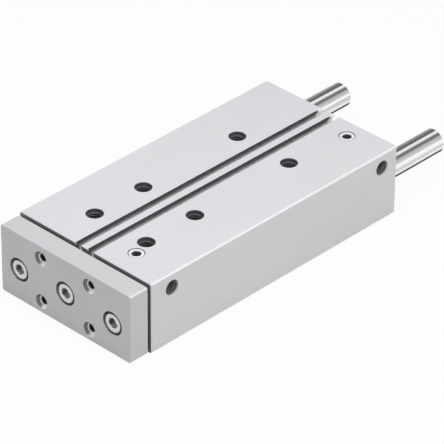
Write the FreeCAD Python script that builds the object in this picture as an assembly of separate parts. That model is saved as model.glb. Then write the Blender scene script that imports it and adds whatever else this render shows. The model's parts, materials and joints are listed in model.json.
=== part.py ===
import FreeCAD, Part
import math
import os

from FreeCAD import Vector

# Guided pneumatic cylinder: an extruded housing with one bore and two guide rods.
# Frame: millimetres, +Z up, origin at the centre of the housing's bottom face.
# The yoke plate is at the front, towards -Y, and the guide rods come out at the rear.

# ---------------------------------------------------------------- driving dimensions

HOUSING_WIDTH = 54.4
HOUSING_LENGTH = 104.4
HOUSING_HEIGHT = 24.1
HOUSING_CHAMFER = 0.5
HOUSING_END_CHAMFER = 0.15

STROKE = 80.0
BORE_RADIUS = 6.0
BORE_Z = 11.8
PISTON_ROD_RADIUS = 3.0
GUIDE_ROD_RADIUS = 4.0
GUIDE_ROD_X = 19.4
GUIDE_ROD_Z = 10.85
GUIDE_ROD_PROTRUSION = 27.0

PLATE_WIDTH = 53.7
PLATE_HEIGHT = 23.1
PLATE_THICKNESS = 7.0
PLATE_BOTTOM_Z = 0.4
PLATE_GAP = 1.0
PLATE_CHAMFER = 0.5
PLATE_END_CHAMFER = 0.1

# Hole-to-hole distances, and nominal thread sizes as radii.
PLATE_THREADS_WIDE = 20.0
PLATE_THREADS_HIGH = 15.0
PLATE_THREADS_Z = 11.7
PLATE_THREAD_COUNTERSINK = 0.4
BODY_ROWS_APART = 21.4
BODY_HOLE_STATIONS = (14.5, 34.5, 74.5)
BODY_HOLE_COUNTERSINK = 0.25
M4_RADIUS = 2.0
M5_RADIUS = 2.5

# Air supply: two side ports, and two plugged ports in the top face.
PORT_STATIONS = (8.5, 97.95)
PORT_Z = 19.0
PORT_THREAD_DEPTH = 5.0
PLUG_X = 12.7
PLUG_HOLE_DEPTH = 6.5
PASSAGE_RADIUS = 1.2
PASSAGE_SLOPE = 0.159

# Round sensor grooves with a narrow mouth.
GROOVE_X = 2.5
GROOVE_RADIUS = 1.85
GROOVE_DEPTH = 2.3
GROOVE_MOUTH = 2.1
GROOVE_LIP_CHAMFER = 0.25

# Socket head screws, nominal 4 mm.
SCREW_HEAD_RADIUS = 3.5
SCREW_HEAD_HEIGHT = 4.0
SCREW_HEAD_RECESS = 0.15
SCREW_LENGTH = 14.0
SCREW_SOCKET_FLATS = 3.0
SCREW_SOCKET_DEPTH = 2.0
SCREW_SOCKET_MOUTH_RADIUS = 1.95
COUNTERBORE_RADIUS = 3.85
SCREW_CLEARANCE_RADIUS = 2.2
TAPPED_DEPTH = 15.0

# Radial clearances: turning or sliding fits, and fits that stay put.
RUNNING = 0.04
SEAL_GAP = 0.06
STATIC = 0.01

# Stations along the bore, as distances behind the housing's front face.
RING_GROOVE_START = 1.0
RING_THICKNESS = 0.8
CAP_START = RING_GROOVE_START + RING_THICKNESS
CAP_FULL_END = 6.6
CAP_NOSE_END = 7.8
BUFFER_THICKNESS = 0.8
PISTON_LENGTH = 8.0
PISTON_TRAVEL_START = CAP_NOSE_END + BUFFER_THICKNESS
PISTON_FRONT = PISTON_TRAVEL_START + STROKE
PISTON_REAR = PISTON_FRONT + PISTON_LENGTH
REAR_NOSE_START = PISTON_REAR + BUFFER_THICKNESS
REAR_FULL_START = REAR_NOSE_START + 2.0
REAR_CAP_END = HOUSING_LENGTH - RING_GROOVE_START - RING_THICKNESS
CAP_NOSE_RADIUS = 4.8
RING_GROOVE_RADIUS = 6.45

# Guide rod bearings, as distances behind the housing's front face.
WIPER_RADIUS = 5.5
WIPER_DEPTH = 2.6
BUSH_RADIUS = 5.0
BUSH_LENGTH = 15.0
REAR_BUSH_START = 33.0
GUIDE_CLEARANCE_RADIUS = 4.5

FRONT_Y = -HOUSING_LENGTH / 2
REAR_Y = HOUSING_LENGTH / 2
PLATE_BACK_Y = FRONT_Y - PLATE_GAP
PLATE_FRONT_Y = PLATE_BACK_Y - PLATE_THICKNESS
ALONG = Vector(0, 1, 0)
UP = Vector(0, 0, 1)

SIDES = (("left", -1), ("right", 1))


# ---------------------------------------------------------------- shape helpers

def behind(station):
    """Y of a distance behind the housing's front face."""
    return FRONT_Y + station


def rod_along_y(radius, start, end, x=0.0, z=BORE_Z):
    """A plain cylinder along Y between two Y values."""
    return Part.makeCylinder(radius, end - start, Vector(x, start, z), ALONG)


def turned(outline, x=0.0, z=BORE_Z):
    """A solid turned about an axis along Y from a closed outline of (y, radius) points."""
    points = [Vector(x + radius, y, z) for y, radius in outline]
    wire = Part.makePolygon(points + points[:1])
    return Part.Face(wire).revolve(Vector(x, 0, z), ALONG, 360)


def chamfered_hole_along_y(radius, start, end, x, z, chamfer, towards_front):
    """The tool for a hole along Y whose mouth has a 45 degree chamfer."""
    hole = rod_along_y(radius, start, end, x, z)
    if towards_front:
        cone = Part.makeCone(radius + chamfer, radius, chamfer, Vector(x, start, z), ALONG)
    else:
        cone = Part.makeCone(radius, radius + chamfer, chamfer, Vector(x, end - chamfer, z), ALONG)
    return hole.fuse(cone)


def chamfered_through_hole_up(radius, x, y, height, chamfer):
    """The tool for a hole along Z, chamfered at the bottom and the top face."""
    hole = Part.makeCylinder(radius, height, Vector(x, y, 0), UP)
    low = Part.makeCone(radius + chamfer, radius, chamfer, Vector(x, y, 0), UP)
    high = Part.makeCone(radius, radius + chamfer, chamfer, Vector(x, y, height - chamfer), UP)
    return hole.fuse([low, high])


def hexagon_prism(flats, base, axis, length):
    """A hexagonal prism, sized across its flats, from base along axis."""
    corner_radius = flats / math.sqrt(3)
    side_ways = Vector(1, 0, 0)
    other_way = axis.cross(side_ways)
    points = []
    for corner_number in range(6):
        angle = math.radians(30 + 60 * corner_number)
        towards_corner = side_ways * math.cos(angle) + other_way * math.sin(angle)
        points.append(base + towards_corner * corner_radius)
    face = Part.Face(Part.makePolygon(points + points[:1]))
    return face.extrude(axis * length)


def runs_along_y(edge):
    """Whether a straight edge is parallel to Y."""
    first, last = (vertex.Point for vertex in edge.Vertexes)
    return abs(last.y - first.y) > abs(last.x - first.x) + abs(last.z - first.z)


def bar_along_y(width, length, height, corner, long_chamfer, end_chamfer):
    """A drawn bar from its lowest corner: its four long edges chamfered, its cut ends only deburred."""
    bar = Part.makeBox(width, length, height, corner)
    bar = bar.makeChamfer(long_chamfer, [edge for edge in bar.Edges if runs_along_y(edge)])
    return bar.makeChamfer(end_chamfer, [edge for edge in bar.Edges if not runs_along_y(edge)])


def save(shape, node):
    """Write one node's solid to its own file."""
    shape.exportStep("parts/" + node + ".step")


# ---------------------------------------------------------------- housing

def sensor_groove(x):
    """The tool for one round groove along the top face with a chamfered narrow mouth."""
    centre_z = HOUSING_HEIGHT - GROOVE_DEPTH
    round_part = rod_along_y(GROOVE_RADIUS, FRONT_Y - 1, REAR_Y + 1, x, centre_z)
    half = GROOVE_MOUTH / 2
    lip = GROOVE_LIP_CHAMFER
    section = [
        Vector(x - half, FRONT_Y - 1, centre_z),
        Vector(x + half, FRONT_Y - 1, centre_z),
        Vector(x + half, FRONT_Y - 1, HOUSING_HEIGHT - lip),
        Vector(x + half + lip * 2, FRONT_Y - 1, HOUSING_HEIGHT + lip),
        Vector(x - half - lip * 2, FRONT_Y - 1, HOUSING_HEIGHT + lip),
        Vector(x - half, FRONT_Y - 1, HOUSING_HEIGHT - lip),
    ]
    mouth = Part.Face(Part.makePolygon(section + section[:1])).extrude(ALONG * (HOUSING_LENGTH + 2))
    return round_part.fuse(mouth)


def cylinder_bore():
    """The tool for the piston's bore with a groove for a retaining ring near each end."""
    groove_end = RING_GROOVE_START + RING_THICKNESS
    bore = rod_along_y(BORE_RADIUS, FRONT_Y - 1, REAR_Y + 1)
    front_groove = rod_along_y(RING_GROOVE_RADIUS, behind(RING_GROOVE_START), behind(groove_end))
    rear_groove = rod_along_y(RING_GROOVE_RADIUS, REAR_Y - groove_end, REAR_Y - RING_GROOVE_START)
    return bore.fuse([front_groove, rear_groove])


def guide_bore(x):
    """The tool for one guide rod's stepped bore: wiper seat, bushes, then clearance."""
    bush_end = behind(REAR_BUSH_START + BUSH_LENGTH)
    wiper_seat = rod_along_y(WIPER_RADIUS, FRONT_Y - 1, behind(WIPER_DEPTH), x, GUIDE_ROD_Z)
    bush_seat = rod_along_y(BUSH_RADIUS, FRONT_Y, bush_end, x, GUIDE_ROD_Z)
    clearance = chamfered_hole_along_y(
        GUIDE_CLEARANCE_RADIUS, FRONT_Y, REAR_Y, x, GUIDE_ROD_Z, 0.5, towards_front=False)
    return wiper_seat.fuse([bush_seat, clearance])


def supply_passages(station):
    """The tool for one end's air path: side port, plugged top port, and the sloping drilling."""
    y = behind(station)
    half_width = HOUSING_WIDTH / 2
    thread_end_x = half_width - PORT_THREAD_DEPTH
    mouth = 0.1
    port = Part.makeCylinder(M5_RADIUS, PORT_THREAD_DEPTH, Vector(thread_end_x, y, PORT_Z), Vector(1, 0, 0))
    port_mouth = Part.makeCone(
        M5_RADIUS, M5_RADIUS + mouth, mouth, Vector(half_width - mouth, y, PORT_Z), Vector(1, 0, 0))
    plug_hole_bottom = Vector(PLUG_X, y, HOUSING_HEIGHT - PLUG_HOLE_DEPTH)
    plug_hole = Part.makeCylinder(M5_RADIUS, PLUG_HOLE_DEPTH, plug_hole_bottom, UP)
    plug_mouth = Part.makeCone(
        M5_RADIUS, M5_RADIUS + mouth, mouth, Vector(PLUG_X, y, HOUSING_HEIGHT - mouth), UP)
    run = Vector(-1, 0, -PASSAGE_SLOPE)
    start = Vector(thread_end_x + 1.5, y, PORT_Z - 0.4)
    length = (start.x - BORE_RADIUS / 2) * run.Length
    drilling = Part.makeCylinder(PASSAGE_RADIUS, length, start, run)
    return port.fuse([port_mouth, plug_hole, plug_mouth, drilling])


def housing_block():
    """The extruded housing with its bore, guide bores, grooves, ports and mounting holes."""
    corner = Vector(-HOUSING_WIDTH / 2, FRONT_Y, 0)
    block = bar_along_y(
        HOUSING_WIDTH, HOUSING_LENGTH, HOUSING_HEIGHT, corner, HOUSING_CHAMFER, HOUSING_END_CHAMFER)
    tools = [cylinder_bore()]
    for _, side in SIDES:
        tools.append(guide_bore(side * GUIDE_ROD_X))
        tools.append(sensor_groove(side * GROOVE_X))
        for station in BODY_HOLE_STATIONS:
            x = side * BODY_ROWS_APART / 2
            tools.append(chamfered_through_hole_up(
                M5_RADIUS, x, behind(station), HOUSING_HEIGHT, BODY_HOLE_COUNTERSINK))
    for station in PORT_STATIONS:
        tools.append(supply_passages(station))
    return block.cut(tools)


# ---------------------------------------------------------------- front end of the bore

SEAL_SEAT_RADIUS = 4.6
SEAL_SEAT_END = 4.4
ROD_BUSH_RADIUS = 4.0
ROD_BUSH_START = SEAL_SEAT_END
CAP_GROOVE_START = 5.0
CAP_GROOVE_END = 6.2
CAP_O_RING_SECTION = 0.5
CAP_GROOVE_RADIUS = BORE_RADIUS - 2 * CAP_O_RING_SECTION


def front_bearing_cap():
    """The turned cap that closes the bore's front and carries the rod's bush and seal."""
    outer = BORE_RADIUS - STATIC
    start = behind(CAP_START)
    outline = [
        (start, PISTON_ROD_RADIUS + 0.4),
        (start + 0.4, PISTON_ROD_RADIUS + 0.4),
        (start + 0.4, SEAL_SEAT_RADIUS),
        (behind(SEAL_SEAT_END), SEAL_SEAT_RADIUS),
        (behind(ROD_BUSH_START), ROD_BUSH_RADIUS),
        (behind(CAP_NOSE_END), ROD_BUSH_RADIUS),
        (behind(CAP_NOSE_END), CAP_NOSE_RADIUS),
        (behind(CAP_FULL_END), CAP_NOSE_RADIUS),
        (behind(CAP_FULL_END), outer - 0.2),
        (behind(CAP_FULL_END) - 0.2, outer),
        (behind(CAP_GROOVE_END), outer),
        (behind(CAP_GROOVE_END), CAP_GROOVE_RADIUS),
        (behind(CAP_GROOVE_START), CAP_GROOVE_RADIUS),
        (behind(CAP_GROOVE_START), outer),
        (start + 0.3, outer),
        (start, outer - 0.3),
    ]
    return turned(outline)


def rod_bush():
    """The plain bush that guides the piston rod, chamfered at both mouths."""
    inner = PISTON_ROD_RADIUS + RUNNING
    outer = ROD_BUSH_RADIUS - STATIC
    start = behind(ROD_BUSH_START)
    end = behind(CAP_NOSE_END)
    outline = [
        (start, inner + 0.2),
        (start + 0.2, inner),
        (end - 0.2, inner),
        (end, inner + 0.2),
        (end, outer),
        (start, outer),
    ]
    return turned(outline)


def rod_seal():
    """The lip seal on the piston rod, with its hollow side towards the pressure."""
    outer = SEAL_SEAT_RADIUS - STATIC
    lip = PISTON_ROD_RADIUS + SEAL_GAP
    start = behind(CAP_START) + 0.4
    end = behind(SEAL_SEAT_END)
    outline = [
        (start, lip + 0.35),
        (start, outer - 0.1),
        (end, outer),
        (end, outer - 0.35),
        (start + 1.0, (outer + lip) / 2),
        (end, lip + 0.35),
        (end, lip + 0.1),
        (end - 0.2, lip),
        (end - 0.5, lip),
        (start + 0.4, lip + 0.2),
    ]
    return turned(outline)


def squeezed_ring(middle, radius, section):
    """A rubber ring of round section, flattened a little on eight sides where it is squeezed."""
    facets = 8
    reach = section / math.cos(math.pi / facets)
    outline = []
    for number in range(facets):
        angle = 2 * math.pi * (number + 0.5) / facets
        outline.append((middle + reach * math.cos(angle), radius + reach * math.sin(angle)))
    return turned(outline)


def static_o_ring(groove_start, groove_end):
    """The ring that fills a cap's groove across to the bore wall."""
    middle = behind((groove_start + groove_end) / 2)
    return squeezed_ring(middle, BORE_RADIUS - CAP_O_RING_SECTION, CAP_O_RING_SECTION - STATIC)


def retaining_ring(start):
    """An internal retaining ring: tapered C shape, with a gap and two eyed lugs below."""
    outer_radius = RING_GROOVE_RADIUS - STATIC
    lug_ring_radius = 4.75
    lug_angle = math.radians(24)
    outer = rod_along_y(outer_radius, start, start + RING_THICKNESS)
    inner = rod_along_y(5.3, start - 1, start + RING_THICKNESS + 1, 0, BORE_Z - 0.25)
    gap = Part.makeBox(2.2, 4, 8, Vector(-1.1, start - 1, BORE_Z - 8))
    lugs = []
    eyes = []
    for _, side in SIDES:
        x = side * lug_ring_radius * math.sin(lug_angle)
        z = BORE_Z - lug_ring_radius * math.cos(lug_angle)
        lugs.append(rod_along_y(1.05, start, start + RING_THICKNESS, x, z))
        eyes.append(rod_along_y(0.5, start - 1, start + RING_THICKNESS + 1, x, z))
    return outer.cut(inner).fuse(lugs).cut(eyes + [gap]).removeSplitter()


def buffer_ring(start, inner_radius):
    """A soft end stop: a plain flat ring that the piston lands on."""
    outer_radius = CAP_NOSE_RADIUS
    ring = rod_along_y(outer_radius, start, start + BUFFER_THICKNESS)
    return ring.cut(rod_along_y(inner_radius, start - 1, start + BUFFER_THICKNESS + 1))


# ---------------------------------------------------------------- rear end of the bore

REAR_GROOVE_START = 100.3
REAR_GROOVE_END = 101.5


def rear_cap():
    """The blind cap at the bore's rear, with a shallow turned recess for an extractor."""
    outer = BORE_RADIUS - STATIC
    end = behind(REAR_CAP_END)
    outline = [
        (behind(REAR_NOSE_START), 0),
        (behind(REAR_NOSE_START), CAP_NOSE_RADIUS),
        (behind(REAR_FULL_START), CAP_NOSE_RADIUS),
        (behind(REAR_FULL_START), outer - 0.2),
        (behind(REAR_FULL_START) + 0.2, outer),
        (behind(REAR_GROOVE_START), outer),
        (behind(REAR_GROOVE_START), CAP_GROOVE_RADIUS),
        (behind(REAR_GROOVE_END), CAP_GROOVE_RADIUS),
        (behind(REAR_GROOVE_END), outer),
        (end - 0.3, outer),
        (end, outer - 0.3),
        (end, 2.0),
        (end - 0.6, 1.6),
        (end - 0.6, 0),
    ]
    return turned(outline)


# ---------------------------------------------------------------- guide bearings

def guide_bush(start, x):
    """A thin-walled plain bush, chamfered outside at its entry and inside at both ends."""
    inner = GUIDE_ROD_RADIUS + RUNNING
    outer = BUSH_RADIUS - STATIC
    end = start + BUSH_LENGTH
    outline = [
        (start, inner + 0.3),
        (start + 0.3, inner),
        (end - 0.3, inner),
        (end, inner + 0.3),
        (end, outer - 0.3),
        (end - 0.8, outer),
        (start, outer),
    ]
    return turned(outline, x, GUIDE_ROD_Z)


def guide_wiper(x):
    """The wiper ring in the housing's front face, with a lip that leans outwards."""
    outer = WIPER_RADIUS - STATIC
    lip = GUIDE_ROD_RADIUS + SEAL_GAP
    start = FRONT_Y + 0.3
    end = behind(WIPER_DEPTH)
    outline = [
        (start, outer - 0.2),
        (start + 0.2, outer),
        (end, outer),
        (end, lip + 0.5),
        (start + 1.0, lip + 0.3),
        (start + 0.1, lip),
        (start - 0.1, lip + 0.1),
        (start + 0.5, lip + 0.8),
        (start, lip + 1.0),
    ]
    return turned(outline, x, GUIDE_ROD_Z)


# ---------------------------------------------------------------- plugs and screws

PLUG_LENGTH = 4.0
PLUG_RECESS = 0.1
PLUG_ENTRY_CHAMFER = 0.45
PLUG_TOP_CHAMFER = 0.2
PLUG_SOCKET_FLATS = 2.5
PLUG_SOCKET_DEPTH = 2.2
PLUG_SOCKET_MOUTH_RADIUS = 1.6


def port_plug(station):
    """A headless plug screw, chamfered above and below, with a hexagon socket."""
    radius = M5_RADIUS - STATIC
    top = Vector(PLUG_X, behind(station), HOUSING_HEIGHT - PLUG_RECESS)
    base = top - UP * PLUG_LENGTH
    entry = PLUG_ENTRY_CHAMFER
    rim = PLUG_TOP_CHAMFER
    lower = Part.makeCone(radius - entry, radius, entry, base, UP)
    middle = Part.makeCylinder(radius, PLUG_LENGTH - entry - rim, base + UP * entry, UP)
    upper = Part.makeCone(radius, radius - rim, rim, top - UP * rim, UP)
    plug = lower.fuse([middle, upper])
    socket = hexagon_prism(PLUG_SOCKET_FLATS, top - UP * PLUG_SOCKET_DEPTH, UP, PLUG_SOCKET_DEPTH)
    mouth_depth = PLUG_SOCKET_MOUTH_RADIUS - PLUG_SOCKET_FLATS / 2
    mouth = Part.makeCone(
        PLUG_SOCKET_FLATS / 2, PLUG_SOCKET_MOUTH_RADIUS, mouth_depth, top - UP * mouth_depth, UP)
    return plug.cut([socket, mouth]).removeSplitter()


def socket_head_screw(x, z):
    """A socket head screw: rounded-off head, countersunk hexagon socket with a drilled floor, shank."""
    head_start = PLATE_FRONT_Y + SCREW_HEAD_RECESS
    head_end = head_start + SCREW_HEAD_HEIGHT
    shank_radius = M4_RADIUS - STATIC
    edge = 0.4
    drill_radius = SCREW_SOCKET_FLATS / 2
    drill_end = head_start + SCREW_SOCKET_DEPTH
    mouth_depth = (SCREW_SOCKET_MOUTH_RADIUS - drill_radius) * 0.6
    outline = [
        (drill_end + drill_radius * 0.6, 0),
        (drill_end, drill_radius),
        (head_start + mouth_depth, drill_radius),
        (head_start, SCREW_SOCKET_MOUTH_RADIUS),
        (head_start, SCREW_HEAD_RADIUS - edge),
        (head_start + edge * 0.3, SCREW_HEAD_RADIUS - edge * 0.3),
        (head_start + edge, SCREW_HEAD_RADIUS),
        (head_end, SCREW_HEAD_RADIUS),
        (head_end, shank_radius),
        (head_end + SCREW_LENGTH - edge, shank_radius),
        (head_end + SCREW_LENGTH, shank_radius - edge),
        (head_end + SCREW_LENGTH, 0),
    ]
    screw = turned(outline, x, z)
    socket = hexagon_prism(SCREW_SOCKET_FLATS, Vector(x, head_start, z), ALONG, SCREW_SOCKET_DEPTH)
    return screw.cut(socket)


# ---------------------------------------------------------------- carriage

GUIDE_SEAT_DEPTH = 0.6


def yoke_plate():
    """The front plate: three counterbored screws, four threads, and seats for the guide rods."""
    corner = Vector(-PLATE_WIDTH / 2, PLATE_FRONT_Y, PLATE_BOTTOM_Z)
    plate = bar_along_y(
        PLATE_WIDTH, PLATE_THICKNESS, PLATE_HEIGHT, corner, PLATE_CHAMFER, PLATE_END_CHAMFER)
    counterbore_depth = SCREW_HEAD_RECESS + SCREW_HEAD_HEIGHT
    tools = []
    screw_places = [(0.0, BORE_Z)]
    for _, side in SIDES:
        x = side * GUIDE_ROD_X
        screw_places.append((x, GUIDE_ROD_Z))
        seat = rod_along_y(
            GUIDE_ROD_RADIUS + STATIC, PLATE_BACK_Y - GUIDE_SEAT_DEPTH, PLATE_BACK_Y, x, GUIDE_ROD_Z)
        tools.append(seat)
        for up in (-1, 1):
            z = PLATE_THREADS_Z + up * PLATE_THREADS_HIGH / 2
            thread = chamfered_hole_along_y(
                M4_RADIUS, PLATE_FRONT_Y, PLATE_BACK_Y,
                side * PLATE_THREADS_WIDE / 2, z, PLATE_THREAD_COUNTERSINK, towards_front=True)
            tools.append(thread)
    for x, z in screw_places:
        tools.append(rod_along_y(SCREW_CLEARANCE_RADIUS, PLATE_FRONT_Y, PLATE_BACK_Y, x, z))
        tools.append(chamfered_hole_along_y(
            COUNTERBORE_RADIUS, PLATE_FRONT_Y, PLATE_FRONT_Y + counterbore_depth,
            x, z, 0.1, towards_front=True))
    return plate.cut(tools)


def tapped_rod_end(front, radius, chamfer):
    """The first part of a rod's outline: a chamfered end with a tapped hole, from hole to edge."""
    hole_end = front + TAPPED_DEPTH
    return [
        (hole_end + M4_RADIUS * 0.6, 0),
        (hole_end, M4_RADIUS),
        (front + 0.3, M4_RADIUS),
        (front, M4_RADIUS + 0.3),
        (front, radius - chamfer),
        (front + chamfer, radius),
    ]


def guide_rod(x):
    """One ground guide rod, tapped in front and chamfered at its free rear end."""
    rear = REAR_Y + GUIDE_ROD_PROTRUSION
    chamfer = 0.6
    outline = tapped_rod_end(PLATE_BACK_Y - GUIDE_SEAT_DEPTH, GUIDE_ROD_RADIUS, 0.3)
    outline += [
        (rear - chamfer, GUIDE_ROD_RADIUS),
        (rear, GUIDE_ROD_RADIUS - chamfer),
        (rear, 0),
    ]
    return turned(outline, x, GUIDE_ROD_Z)


PISTON_SPIGOT_RADIUS = 2.0
RIVET_RADIUS = 2.9
RIVET_DEPTH = 0.9


def piston_rod():
    """The piston rod: tapped in front, stepped down inside the piston and riveted behind it."""
    outline = tapped_rod_end(PLATE_BACK_Y, PISTON_ROD_RADIUS, 0.3)
    outline += [
        (behind(PISTON_FRONT), PISTON_ROD_RADIUS),
        (behind(PISTON_FRONT), PISTON_SPIGOT_RADIUS),
        (behind(PISTON_REAR) - RIVET_DEPTH, PISTON_SPIGOT_RADIUS),
        (behind(PISTON_REAR) - 0.1, RIVET_RADIUS),
        (behind(PISTON_REAR) - 0.1, 0),
    ]
    return turned(outline)


PISTON_RADIUS = 5.8
SEAL_GROOVE_START = 1.0
SEAL_GROOVE_WIDTH = 2.2
SEAL_GROOVE_RADIUS = 4.2
BAND_GROOVE_START = 4.2
BAND_GROOVE_WIDTH = 2.8
BAND_GROOVE_RADIUS = 5.2
MAGNET_INNER_RADIUS = 3.9
SPIGOT_O_RING_SECTION = 0.5
SPIGOT_O_RING_SEAT = 1.2


def piston():
    """The piston: grooves for seal, magnet and guide band, and a countersink for the rivet."""
    front = behind(PISTON_FRONT)
    rear = behind(PISTON_REAR)
    spigot = PISTON_SPIGOT_RADIUS + STATIC
    seal_start = front + SEAL_GROOVE_START
    seal_end = seal_start + SEAL_GROOVE_WIDTH
    band_start = front + BAND_GROOVE_START
    band_end = band_start + BAND_GROOVE_WIDTH
    outline = [
        (front, spigot + 1.0),
        (front, PISTON_RADIUS - 0.4),
        (front + 0.4, PISTON_RADIUS),
        (seal_start, PISTON_RADIUS),
        (seal_start, SEAL_GROOVE_RADIUS),
        (seal_end, SEAL_GROOVE_RADIUS),
        (seal_end, PISTON_RADIUS),
        (band_start, PISTON_RADIUS),
        (band_start, MAGNET_INNER_RADIUS),
        (band_end, MAGNET_INNER_RADIUS),
        (band_end, PISTON_RADIUS),
        (rear - 0.4, PISTON_RADIUS),
        (rear, PISTON_RADIUS - 0.4),
        (rear, RIVET_RADIUS + 0.15),
        (rear - RIVET_DEPTH, spigot),
        (front + SPIGOT_O_RING_SEAT, spigot),
        (front + SPIGOT_O_RING_SEAT, spigot + 1.0),
    ]
    return turned(outline)


def spigot_o_ring():
    """The small ring that seals the rod's spigot inside the piston's front face."""
    middle = behind(PISTON_FRONT) + SPIGOT_O_RING_SEAT / 2
    return squeezed_ring(
        middle, PISTON_SPIGOT_RADIUS + SPIGOT_O_RING_SECTION, SPIGOT_O_RING_SECTION - STATIC)


def piston_seal():
    """The double-acting piston seal: one lip towards each end and a waist between them."""
    start = behind(PISTON_FRONT) + SEAL_GROOVE_START
    end = start + SEAL_GROOVE_WIDTH
    middle = (start + end) / 2
    lip = BORE_RADIUS - SEAL_GAP
    outline = [
        (start, SEAL_GROOVE_RADIUS + STATIC),
        (end, SEAL_GROOVE_RADIUS + STATIC),
        (end, lip - 0.25),
        (end - 0.2, lip),
        (end - 0.5, lip),
        (middle, lip - 0.5),
        (start + 0.5, lip),
        (start + 0.2, lip),
        (start, lip - 0.25),
    ]
    return turned(outline)


def piston_magnet():
    """The ring magnet that the sensors in the grooves read."""
    start = behind(PISTON_FRONT) + BAND_GROOVE_START
    end = start + BAND_GROOVE_WIDTH
    ring = rod_along_y(BAND_GROOVE_RADIUS, start, end)
    return ring.cut(rod_along_y(MAGNET_INNER_RADIUS + STATIC, start - 1, end + 1))


def piston_guide_band():
    """The split guide band that lies over the magnet and runs on the bore wall."""
    start = behind(PISTON_FRONT) + BAND_GROOVE_START
    end = start + BAND_GROOVE_WIDTH
    band = rod_along_y(BORE_RADIUS - SEAL_GAP, start, end)
    band = band.cut(rod_along_y(BAND_GROOVE_RADIUS + STATIC, start - 1, end + 1))
    split = Part.makeBox(0.4, BAND_GROOVE_WIDTH + 2, 2, Vector(-0.2, start - 1, BORE_Z + BORE_RADIUS - 1.5))
    return band.cut(split)


# ---------------------------------------------------------------- writing the nodes

def save_housing_body():
    """Write every node that stays still."""
    save(housing_block(), "housing_block")
    save(front_bearing_cap(), "front_bearing_cap")
    save(rod_bush(), "rod_bush")
    save(rod_seal(), "rod_seal")
    save(static_o_ring(CAP_GROOVE_START, CAP_GROOVE_END), "front_cap_o_ring")
    save(retaining_ring(behind(RING_GROOVE_START)), "front_retaining_ring")
    save(buffer_ring(behind(CAP_NOSE_END), PISTON_ROD_RADIUS + 0.4), "front_buffer")
    save(rear_cap(), "rear_cap")
    save(static_o_ring(REAR_GROOVE_START, REAR_GROOVE_END), "rear_cap_o_ring")
    save(retaining_ring(REAR_Y - RING_GROOVE_START - RING_THICKNESS), "rear_retaining_ring")
    save(buffer_ring(behind(PISTON_REAR), RIVET_RADIUS + 0.4), "rear_buffer")
    for name, side in SIDES:
        x = side * GUIDE_ROD_X
        save(guide_bush(behind(WIPER_DEPTH), x), "guide_bush_front_" + name)
        save(guide_bush(behind(REAR_BUSH_START), x), "guide_bush_rear_" + name)
        save(guide_wiper(x), "guide_wiper_" + name)
    for name, station in zip(("front", "rear"), PORT_STATIONS):
        save(port_plug(station), "port_plug_" + name)


def save_carriage_body():
    """Write every node that moves with the yoke plate."""
    save(yoke_plate(), "yoke_plate")
    save(piston_rod(), "piston_rod")
    save(piston(), "piston")
    save(spigot_o_ring(), "spigot_o_ring")
    save(piston_seal(), "piston_seal")
    save(piston_magnet(), "piston_magnet")
    save(piston_guide_band(), "piston_guide_band")
    save(socket_head_screw(0.0, BORE_Z), "piston_rod_screw")
    for name, side in SIDES:
        x = side * GUIDE_ROD_X
        save(guide_rod(x), "guide_rod_" + name)
        save(socket_head_screw(x, GUIDE_ROD_Z), "guide_rod_screw_" + name)


os.makedirs("parts", exist_ok=True)
save_housing_body()
save_carriage_body()
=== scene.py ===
"""Looks of a guided pneumatic cylinder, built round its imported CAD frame.

Everything is in metres in the frame of the construction: Z up, the yoke plate towards -Y, the guide
rods out at +Y and the supply ports on +X. The CAD nodes stay as they are and get a finish each. The
fine work that only shows is added as meshes: screw threads, the cones that lead into them, and knurling.
"""

import json
import logging
import math
from dataclasses import dataclass
from enum import Enum
from functools import partial, reduce
from typing import Optional, Sequence, Union

import bpy
import numpy as np
from mathutils import Matrix, Vector


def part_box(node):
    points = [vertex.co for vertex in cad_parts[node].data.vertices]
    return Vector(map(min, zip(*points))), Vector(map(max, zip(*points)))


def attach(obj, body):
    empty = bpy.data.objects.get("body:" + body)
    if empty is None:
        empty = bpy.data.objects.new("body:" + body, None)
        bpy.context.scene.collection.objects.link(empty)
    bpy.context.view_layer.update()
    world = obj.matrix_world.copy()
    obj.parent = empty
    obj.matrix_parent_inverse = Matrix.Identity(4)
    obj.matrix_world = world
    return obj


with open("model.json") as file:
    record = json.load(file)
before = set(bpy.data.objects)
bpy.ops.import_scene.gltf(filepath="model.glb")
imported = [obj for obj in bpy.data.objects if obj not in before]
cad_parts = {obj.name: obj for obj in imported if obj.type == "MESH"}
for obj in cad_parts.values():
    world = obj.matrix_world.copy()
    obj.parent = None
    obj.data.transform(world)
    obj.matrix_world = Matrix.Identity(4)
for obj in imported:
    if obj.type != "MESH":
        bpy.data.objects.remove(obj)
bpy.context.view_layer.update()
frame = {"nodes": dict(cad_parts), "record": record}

MOUNTS = {mount["name"]: mount for mount in frame["record"]["mounts"]}
MM = 0.001
MICRON = 0.000001
WHITE = (1.0, 1.0, 1.0)
LOG = logging.getLogger("guided_cylinder")

Colour = tuple[float, float, float]
Material = bpy.types.Material
Object = bpy.types.Object
Socket = bpy.types.NodeSocket
Term = Union[float, Sequence[float], Socket]
Scale = Union[float, tuple[float, float, float]]
Inputs = dict[Union[int, str], Term]
Surface = tuple[np.ndarray, np.ndarray]

Span = tuple[float, float]

# The value at which a share is 0, then the one at which it is 1. Between the two it goes smoothly.
Band = tuple[float, float]


# ---------------------------------------------------------------- places and surfaces


class Axis(Enum):
    """A round detail's own axis: the index of its direction, then of the two directions across it."""

    X = (0, 1, 2)
    Y = (1, 2, 0)
    Z = (2, 0, 1)


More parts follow.
